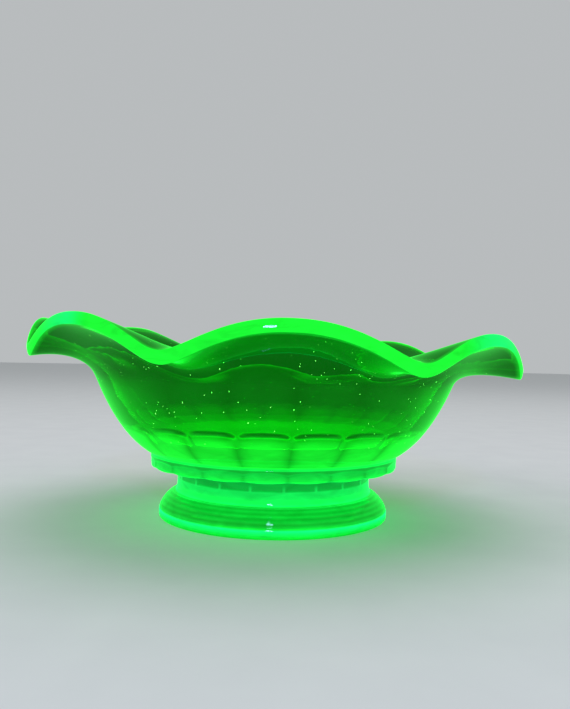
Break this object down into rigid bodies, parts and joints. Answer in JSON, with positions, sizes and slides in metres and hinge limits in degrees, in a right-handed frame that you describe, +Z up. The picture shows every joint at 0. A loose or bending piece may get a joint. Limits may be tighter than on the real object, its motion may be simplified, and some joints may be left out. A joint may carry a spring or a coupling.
{
  "type": "footed glass dish",
  "caption": "Footed round glass dish with a flared, crimped rim, a collar under the bowl, a short stem and a stepped foot.",
  "frame": {"origin": "on the table under the centre of the dish, at the middle of the foot's resting face", "axes": "+Z up, -Y the front, +X to the right as seen from the front"},
  "size_m": [0.244, 0.2438, 0.0995],
  "materials": {
    "bowl_glass": "fire-polished clear green uranium glass, shown glowing under ultraviolet light",
    "merese_glass": "fire-polished clear green uranium glass, glowing at its edge",
    "stem_glass": "fire-polished clear green uranium glass",
    "foot_glass": "pressed clear green uranium glass with ring steps and a ground underside"
  },
  "bodies": {
    "root": {"bowl": "bowl_glass", "merese": "merese_glass", "stem": "stem_glass", "foot": "foot_glass"}
  },
  "joints": []
}
